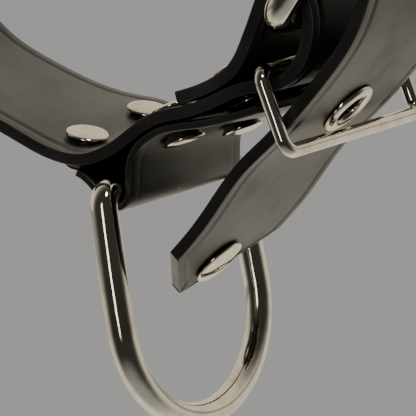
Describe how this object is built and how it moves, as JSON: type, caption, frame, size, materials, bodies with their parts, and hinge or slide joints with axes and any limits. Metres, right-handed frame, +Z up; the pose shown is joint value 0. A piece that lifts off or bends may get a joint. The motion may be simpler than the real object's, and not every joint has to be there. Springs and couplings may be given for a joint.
{
  "type": "belt",
  "caption": "Wide heavy rubber waist belt, buckled and hung up as a closed loop, with a D-ring riveted on under a saddle, a wire keeper ring and a pointed tail.",
  "frame": {"origin": "where the loop hangs: the middle of the strap's inner face at the top of the loop", "axes": "+Z up, X along the belt with the buckle on +X, Y across the strap's width with its near edge at -Y"},
  "size_m": [0.2164, 0.0668, 0.3423],
  "materials": {
    "black_rubber": "satin black latex rubber",
    "nickel_steel": "polished nickel plate"
  },
  "bodies": {
    "belt": {"strap": "black_rubber", "ring_saddle": "black_rubber", "keeper_ring": "nickel_steel", "buckle_frame": "nickel_steel", "buckle_prong": "nickel_steel", "saddle_rivet_1": "nickel_steel", "saddle_rivet_2": "nickel_steel", "saddle_rivet_3": "nickel_steel", "saddle_rivet_4": "nickel_steel", "fold_rivet_1": "nickel_steel", "fold_rivet_2": "nickel_steel", "tail_stud": "nickel_steel", "tail_eyelet_1": "nickel_steel", "tail_eyelet_2": "nickel_steel"},
    "ring": {"d_ring": "nickel_steel"}
  },
  "joints": [
    {"name": "ring_swing", "type": "hinge", "parent": "belt", "child": "ring", "pos_m": [-0.011, 0, -0.2826], "axis": [0, 1, 0], "range_deg": [-85, 110]}
  ]
}
